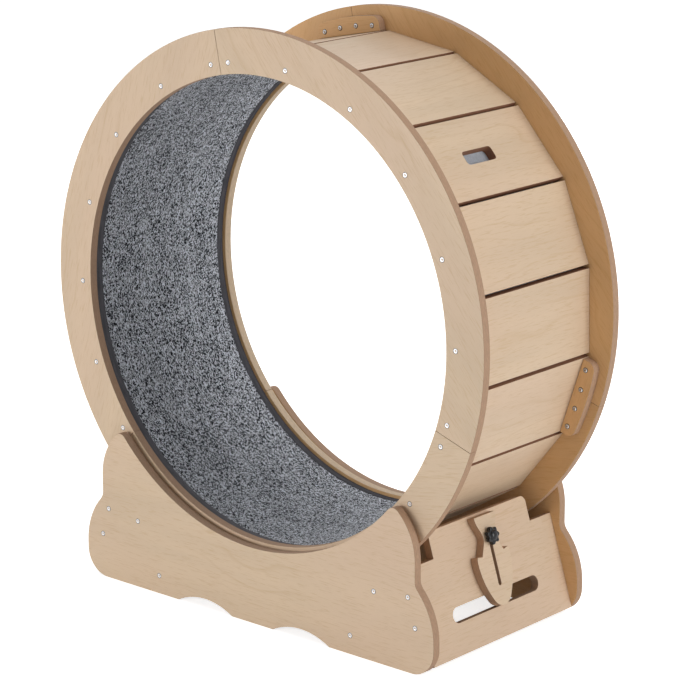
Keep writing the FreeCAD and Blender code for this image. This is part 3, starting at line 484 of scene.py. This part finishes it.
def screw_places(node):
    """The head's middle and the direction that it faces, for every screw of a group."""
    bm = merged(node)
    places = []
    waiting = dict.fromkeys(bm.verts)  # a set has another order each run
    while waiting:
        points, front = [], [waiting.popitem()[0]]
        while front:
            vert = front.pop()
            points.append(vert.co.copy())
            for edge in vert.link_edges:
                other = edge.other_vert(vert)
                if other in waiting:
                    del waiting[other]
                    front.append(other)
        centre = sum(points, Vector()) / len(points)
        tip = max(points, key=lambda point: (point - centre).length)
        rim = sorted(points, key=lambda point: (point - tip).length)[-HEAD_CORNERS:]
        head = sum(rim, Vector()) / HEAD_CORNERS
        places.append((head, (head - tip).normalized()))
    bm.free()
    # Rounded, so that the last digits of a sum don't set the order.
    return sorted(places, key=lambda place: tuple(round(part, 5) for part in place[0]))


# ---------------------------------------------------------------- boards
def board_axes(node, bm):
    """A board's grain direction, the direction across it and the normal of its faces."""
    spread = np.zeros((3, 3))
    for face in bm.faces:
        normal = np.array(face.normal)
        spread += face.calc_area() * np.outer(normal, normal)
    normal = Vector(np.linalg.eigh(spread)[1][:, -1])
    if abs(normal.y) < 0.5:
        grain = ALONG_AXLE.copy()
    elif node.endswith("_panel"):
        grain = Vector((1, 0, 0))
    else:
        middle = middle_of(node)
        outwards = Vector((middle.x, 0, middle.z)) - AXLE
        grain = normal.cross(outwards)
    grain = (grain - normal * grain.dot(normal)).normalized()
    return grain, normal.cross(grain).normalized(), normal


def dress_board(node, looks, materials, seed):
    """A board with eased edges, veneered faces and bare sawn edges, and painted light and shade on some faces."""
    bm = merged(node)
    grain, across, normal = board_axes(node, bm)
    middle = middle_of(node)
    slat = node in SLATS
    ease(bm, looks.rounding * (SLAT_ROUNDING if slat else 1.0))
    inwards = {"front": 1.0, "rear": -1.0}.get(node.split("_")[0], 0.0)
    pattern = bm.verts.layers.float_vector.new("grain")
    shift = PATTERN_STEP * seed
    for vert in bm.verts:
        away = vert.co - middle
        vert[pattern] = Vector((away.dot(grain), away.dot(across), away.dot(normal))) + shift
    # Inner faces take painted warm bounce light, the rear ring's bore painted light, and a slat's edges and ends
    # painted shade.
    for polygon in bm.faces:
        flat = abs(polygon.normal.dot(normal)) > FACE_ON
        inner = polygon.normal.y * inwards > FACE_ON
        outwards = polygon.calc_center_median() - AXLE
        outwards.y = 0
        # Painted light: the rear ring's bore takes the paler face colour, as if lit from behind.
        bore = "rear_ring_" in node and polygon.normal.dot(outwards) < -FACE_ON * outwards.length
        slat_end = slat and abs(polygon.normal.dot(grain)) > END_ON
        if flat and not slat_end:
            polygon.material_index = PAINTED_BOUNCE if inner else FACE
        elif bore:
            polygon.material_index = PAINTED_LIT_BORE
        else:
            polygon.material_index = PAINTED_GAP_SHADE if slat else EDGE
    piece(f"{node}_board", bm, materials, "board", node)


# ---------------------------------------------------------------- mat
def band(outline, name, material, ripple=0.0):
    """A band of the mat round the axle, from a closed outline of (radius, y), with a map in metres."""
    bm = bmesh.new()
    verts = [bm.verts.new(AXLE + Vector((radius, y, 0))) for radius, y in outline]
    edges = [bm.edges.new(pair) for pair in zip(verts, verts[1:] + verts[:1])]
    bmesh.ops.spin(
        bm,
        geom=verts + edges,
        cent=AXLE,
        axis=ALONG_AXLE,
        angle=2 * math.pi,
        steps=BAND_STEPS,
        use_merge=True,
        use_duplicate=False,
    )
    bmesh.ops.recalc_face_normals(bm, faces=bm.faces)
    inner = min(radius for radius, _ in outline)
    for vert in bm.verts:
        away = vert.co - AXLE
        flat = Vector((away.x, 0, away.z))
        if ripple and flat.length < inner + PILE_DEPTH:
            lift = noise.noise(vert.co * 14.0) + 0.5 * noise.noise(vert.co * 45.0)
            vert.co += flat.normalized() * ripple * lift
    weave = bm.loops.layers.uv.new("weave")
    radius = outline[0][0]
    for face in bm.faces:
        centre = face.calc_center_median() - AXLE
        middle = math.atan2(centre.z, centre.x)
        for loop in face.loops:
            away = loop.vert.co - AXLE
            turn = math.atan2(away.z, away.x) - middle
            turn = (turn + math.pi) % (2 * math.pi) - math.pi + middle
            depth = radius - math.hypot(away.x, away.z)
            loop[weave].uv = (turn * radius, away.y + depth)
    return piece(name, bm, [material], "mat", "running_mat", crease=60.0)


# ---------------------------------------------------------------- properties
def colour_property(name, description, default):
    """A colour that the panel shows."""
    return bpy.props.FloatVectorProperty(
        name=name, description=description, default=default, subtype="COLOR", size=3, min=0.0, max=1.0
    )


def length_property(name, description, default):
    """A length that the panel shows."""
    return bpy.props.FloatProperty(
        name=name,
        description=description,
        default=default,
        min=0.0,
        unit="LENGTH",
        subtype="DISTANCE",
        precision=5,
    )


class BoardLooks(bpy.types.PropertyGroup):
    face: colour_property("Face", "Colour of the veneer", (0.66, 0.505, 0.352))
    # Painted warm bounce light: the boards' inner faces, which lie in shade, take a warmer colour than the face
    # veneer.
    inside: colour_property("Inside", "Colour of the veneer on the inner faces", (0.72, 0.45, 0.215))
    edge: colour_property("Edge", "Colour of the sawn edges", (0.42, 0.268, 0.175))
    # Painted shade: the slats' edges and ends are darkened for the shade in the narrow spaces between the slats and
    # against the rings.
    gap: colour_property("Gap", "Colour of the slats' edges, in the gaps between them", (0.25, 0.12, 0.07))
    rounding: length_property("Rounding", "How far the edges are eased", 0.7 * MM)


class MatLooks(bpy.types.PropertyGroup):
    dark: colour_property("Dark yarn", "Colour of the mat's dark yarn", (0.016, 0.018, 0.025))
    light: colour_property("Light yarn", "Colour of the mat's light yarn", (0.88, 0.92, 1.0))
    tape: colour_property("Tape", "Colour of the tape round the mat's edges", (0.1, 0.098, 0.11))
    backing: colour_property("Backing", "Colour of the mat's back", (0.5, 0.54, 0.6))
    tape_front: length_property("Front tape", "Width of the tape on the mat's front edge", 19.0 * MM)
    tape_rear: length_property("Rear tape", "Width of the tape on the mat's rear edge", 15.0 * MM)
    ripple: length_property("Ripple", "How far the mat's surface waves", 0.5 * MM)


class HardwareLooks(bpy.types.PropertyGroup):
    screw: colour_property("Screws", "Colour of the screws", (0.58, 0.58, 0.59))
    steel: colour_property("Steel", "Colour of the brackets and pins", (0.55, 0.56, 0.58))
    roller: colour_property("Rollers", "Colour of the roller's plastic", (0.035, 0.035, 0.037))
    knob: colour_property("Knob", "Colour of the clamping knob", (0.012, 0.012, 0.014))
    socket: length_property("Socket", "Radius of the key socket in a screw's head", 1.8 * MM)


class StageLooks(bpy.types.PropertyGroup):
    floor: colour_property("Floor", "Colour of the floor", (0.88, 0.88, 0.88))
    daylight: bpy.props.FloatProperty(
        name="Daylight", description="Brightness of the light from all round", default=0.34, min=0.0, max=2.0
    )


# ---------------------------------------------------------------- operators
class WHEEL_OT_boards(bpy.types.Operator):
    """Dress every wooden board of the drum, the base and the latch"""

    bl_idname = "wheel.boards"
    bl_label = "Boards"

    def execute(self, context):
        looks = context.scene.board_looks
        # The last three are painted light and shade: warm bounce light, a lit bore and the shade between slats.
        materials = [
            veneer_material("hardwood veneer", looks.face),
            edge_material("sawn edge", looks.edge),
            veneer_material("inner veneer with painted bounce light", looks.inside),
            edge_material("painted lit edge", looks.face),
            edge_material("slat edge with painted shade", looks.gap),
        ]
        for seed, node in enumerate(BOARDS):
            dress_board(node, looks, materials, seed)
        return {"FINISHED"}


class WHEEL_OT_mat(bpy.types.Operator):
    """Lay the loop-pile mat inside the drum and bind its edges"""

    bl_idname = "wheel.mat"
    bl_label = "Mat"

    def execute(self, context):
        looks = context.scene.mat_looks
        half = MAT_HALF - MAT_UNDER_TAPE
        inner = [(MAT_INNER, half - 2 * half * row / MAT_ROWS) for row in range(MAT_ROWS + 1)]
        outline = [(MAT_OUTER, -half), (MAT_OUTER, half)] + inner
        tapes = []
        for name, side, width in (("front", -1, looks.tape_front), ("rear", 1, looks.tape_rear)):
            rim, low = side * MAT_HALF, side * (MAT_HALF - width)
            top = MAT_INNER - 0.7 * MM
            tape = [
                (MAT_OUTER, rim - side * 0.8 * MM),
                (MAT_OUTER - 0.8 * MM, rim),
                (top + 1.2 * MM, rim),
                (top + 0.3 * MM, rim - side * 0.5 * MM),
                (top, rim - side * 1.4 * MM),
                (top + 0.1 * MM, low + side * 1.0 * MM),
                (top + 1.6 * MM, low),
                (MAT_OUTER, low),
            ]
            tapes.append((f"mat_tape_{name}", tape))
        pile = carpet_material(looks.dark, looks.light)
        mat = band(outline, "running_mat_pile", pile, looks.ripple)
        mat.data.materials.append(backing_material(looks.backing))
        for polygon in mat.data.polygons:
            across = polygon.center - AXLE
            polygon.material_index = int(math.hypot(across.x, across.z) > (MAT_INNER + MAT_OUTER) / 2)
        material = binding_material(looks.tape)
        bound = [band(tape, name, material) for name, tape in tapes]
        return {"FINISHED"}


class WHEEL_OT_screws(bpy.types.Operator):
    """Drive every screw of the rings, the splices, the base and the brackets"""

    bl_idname = "wheel.screws"
    bl_label = "Screws"

    def execute(self, context):
        looks = context.scene.hardware_looks
        bright = metal_material("bright zinc", looks.screw, 0.34, (900.0, 900.0, 900.0))
        # Painted shade: this near-black steel goes in each socket and on a ring round the head's rim, for the shade
        # in the socket and in the countersink round the head.
        painted_shade_steel = metal_material("key socket", scaled_colour(looks.screw, 0.12), 0.6, (900.0, 900.0, 900.0))
        socket = looks.socket
        for node, length, dome in (
            ("ring_screws", 44, 0.0),
            ("splice_screws", 25, 1.0),
            ("panel_screws", 44, 0.0),
            ("bracket_screws", 13, 0.0),
        ):
            bm = bmesh.new()
            rings = [
                (6, 0.9 * MM, -2.3 * MM),
                (6, socket * 0.94, -1.9 * MM),
                (6, socket, (0.05 + dome) * MM),
                (24, socket + 0.4 * MM, (0.22 + dome) * MM),
                (24, 3.65 * MM, (0.12 + 0.55 * dome) * MM),
                (24, 4.45 * MM, 0.02 * MM),
                (24, 4.45 * MM, -0.35 * MM),
                (24, 2.0 * MM, -2.7 * MM),
                (12, 1.8 * MM, -(length - 4) * MM),
                (12, 0.4 * MM, -length * MM),
            ]
            for index, (place, direction) in enumerate(screw_places(node)):
                turn = Matrix.Rotation(index * GOLDEN_ANGLE, 4, "Z")
                stack_rings(bm, rings, facing(place, direction) @ turn, dark=(0, 1, 4, 5))
            piece(f"{node}_turned", bm, [bright, painted_shade_steel], "screw_steel", node, crease=32.0)
        return {"FINISHED"}


class WHEEL_OT_rollers(bpy.types.Operator):
    """Make the rollers, their bearings, pins and brackets"""

    bl_idname = "wheel.rollers"
    bl_label = "Rollers"

    def execute(self, context):
        looks = context.scene.hardware_looks
        steel = metal_material("dull zinc", looks.steel, 0.42, (40.0, 900.0, 900.0))
        ground = metal_material("ground steel", scaled_colour(looks.steel, 1.15), 0.25, (900.0, 900.0, 900.0))
        plastic = moulded_material("roller plastic", looks.roller, 0.5, 0.0)
        pins = bmesh.new()
        for node in ROLLERS:
            axis = facing(middle_of(node), ALONG_AXLE)
            half = [(11.0, 11.0), (19.5, 11.0), (20.2, 10.2), (22.8, 10.2), (23.4, 9.8), (23.4, 9.0), (20.2, 7.9)]
            bm = bmesh.new()
            turned(bm, 56, both_ends(half, (19.9, -7.2), (19.9, 7.2)), axis, closed=True)
            piece(f"{node}_turned", bm, [plastic], "roller_plastic", node, crease=24.0)

            bearing = node.replace("roller_", "bearing_")
            half = [(4.12, 7.0), (6.0, 7.0), (6.2, 6.4), (8.9, 6.4), (9.1, 7.0), (10.7, 7.0), (10.95, 6.7)]
            bm = bmesh.new()
            turned(bm, 40, both_ends(half), axis, closed=True)
            piece(f"{bearing}_turned", bm, [ground], "bearing_steel", bearing, crease=24.0)

            half = [(3.0, 14.55), (5.6, 14.4), (6.4, 14.0), (6.4, 13.5), (3.95, 13.5)]
            turned(pins, 32, both_ends(half), axis)
        piece("roller_axles_turned", pins, [steel], "zinc_steel", "roller_axles", crease=24.0)
        for node in BRACKETS:
            bm = merged(node)
            ease(bm, 0.35 * MM)
            piece(f"{node}_folded", bm, [steel], "zinc_steel", node)
        return {"FINISHED"}


class WHEEL_OT_knob(bpy.types.Operator):
    """Make the clamping knob, its stud, washer and tee nut"""

    bl_idname = "wheel.knob"
    bl_label = "Knob"

    def execute(self, context):
        looks = context.scene.hardware_looks
        joint = JOINTS["knob_turn"]
        axis = facing(Vector(joint["pos_m"]), Vector(joint["axis"]))
        zinc = metal_material("stud zinc", looks.screw, 0.35, (900.0, 900.0, 900.0))
        gloss = moulded_material("glossy black plastic", looks.knob, 0.16, 0.15)

        def lobed(radius, turn):
            """Round lobes on the knob's wide rings; its collar and dome stay round."""
            if radius < LOBED_FROM:
                return radius
            return radius + LOBE_REACH * (0.5 + 0.5 * math.cos(KNOB_LOBES * turn)) ** 1.15

        head = [
            (3.05, 0.0), (6.3, 0.0), (6.5, 0.2), (6.5, 1.05),
            (10.4, 1.1), (11.3, 1.5), (11.75, 2.4), (11.8, 4.6), (11.75, 7.2), (11.3, 8.3), (10.4, 8.9), (9.3, 9.0),
            (8.7, 8.95), (8.6, 9.1), (8.0, 10.2), (6.8, 11.2), (5.0, 11.95), (2.8, 12.35), (0.9, 12.46),
        ]
        bm = bmesh.new()
        lift = axis @ Matrix.Translation((0, 0, KNOB_UNDERSIDE))
        turned(bm, 84, head, lift, reach=lobed)
        piece("star_knob_moulded", bm, [gloss], "knob_plastic", "star_knob", crease=50.0)

        bm = bmesh.new()
        thread = [(2.4, STUD_START)]
        for turn in range(STUD_TURNS):
            thread += [(2.98, STUD_START + 0.5 + turn), (2.62, STUD_START + 1.0 + turn)]
        turned(bm, 20, thread, axis)
        piece("knob_stud_threaded", bm, [zinc], "screw_steel", "knob_stud", crease=20.0)

        bm = bmesh.new()
        outline = [(3.1, 15.4), (7.8, 15.4), (8.0, 15.6), (8.0, 16.4), (7.8, 16.58), (3.1, 16.58)]
        turned(bm, 40, outline, axis, closed=True)
        piece("stud_washer_turned", bm, [zinc], "screw_steel", "stud_washer")

        bm = bmesh.new()
        outline = [
            (3.1, -16.5), (9.2, -16.5), (9.5, -16.2), (9.5, -15.02),
            (4.6, -15.02), (4.5, -6.2), (4.2, -6.0), (3.1, -6.0),
        ]
        turned(bm, 32, outline, axis, closed=True)
        piece("tee_nut_turned", bm, [zinc], "screw_steel", "tee_nut")
        return {"FINISHED"}


class WHEEL_OT_stage(bpy.types.Operator):
    """Set the floor, the studio light and the camera"""

    bl_idname = "wheel.stage"
    bl_label = "Stage"

    def execute(self, context):
        looks = context.scene.stage_looks
        scene = context.scene
        bm = bmesh.new()
        bmesh.ops.create_grid(bm, x_segments=1, y_segments=1, size=FLOOR_SIZE)
        mesh = bpy.data.meshes.new("floor")
        bm.to_mesh(mesh)
        bm.free()
        floor = placed("floor", mesh)
        mesh.materials.append(floor_material(looks.floor))

        world = bpy.data.worlds.new("studio")
        scene.world = world
        world.use_nodes = True
        tree = world.node_tree
        background = tree.nodes["Background"]
        background.inputs["Color"].default_value = (1, 1, 1, 1)
        share = math_of(tree, "MULTIPLY", directly_seen(tree), 1.0 - looks.daylight)
        strength = math_of(tree, "ADD", share, looks.daylight)
        tree.links.new(strength, background.inputs["Strength"])

        for name, place, size, power in LAMPS:
            data = bpy.data.lights.new(name, "AREA")
            data.size = size
            data.energy = power
            aimed(placed(name, data), place, LAMPS_AIM - Vector(place))

        data = bpy.data.cameras.new("camera")
        data.lens = CAMERA_LENS
        data.sensor_width = 36.0
        camera = placed("camera", data)
        level = Vector((math.sin(CAMERA_TURN), -math.cos(CAMERA_TURN), 0))
        back = level * math.cos(CAMERA_LIFT) + Vector((0, 0, math.sin(CAMERA_LIFT)))
        aimed(camera, CAMERA_AIM + back * CAMERA_DISTANCE, -back)
        scene.camera = camera
        scene.view_settings.view_transform = "Standard"
        return {"FINISHED"}


class WHEEL_PT_panel(bpy.types.Panel):
    """The wheel's pieces and their looks"""

    bl_idname = "WHEEL_PT_panel"
    bl_label = "Exercise Wheel"
    bl_space_type = "VIEW_3D"
    bl_region_type = "UI"
    bl_category = "Exercise Wheel"

    def draw(self, context):
        for name in LOOKS:
            looks = getattr(context.scene, name)
            for prop in looks.__annotations__:
                self.layout.prop(looks, prop)
        for operator in OPERATORS:
            self.layout.operator(operator.bl_idname)


LOOKS = {
    "board_looks": BoardLooks,
    "mat_looks": MatLooks,
    "hardware_looks": HardwareLooks,
    "stage_looks": StageLooks,
}
OPERATORS = (
    WHEEL_OT_boards,
    WHEEL_OT_mat,
    WHEEL_OT_screws,
    WHEEL_OT_rollers,
    WHEEL_OT_knob,
    WHEEL_OT_stage,
)


def register():
    for group in LOOKS.values():
        bpy.utils.register_class(group)
    for kind in OPERATORS + (WHEEL_PT_panel,):
        bpy.utils.register_class(kind)
    for name, group in LOOKS.items():
        setattr(bpy.types.Scene, name, bpy.props.PointerProperty(type=group))


def unregister():
    for name in LOOKS:
        delattr(bpy.types.Scene, name)
    for kind in reversed((*LOOKS.values(), *OPERATORS, WHEEL_PT_panel)):
        bpy.utils.unregister_class(kind)


def main():
    register()
    bpy.ops.wheel.boards()
    bpy.ops.wheel.mat()
    bpy.ops.wheel.screws()
    bpy.ops.wheel.rollers()
    bpy.ops.wheel.knob()
    bpy.ops.wheel.stage()


if __name__ == "__main__":
    main()
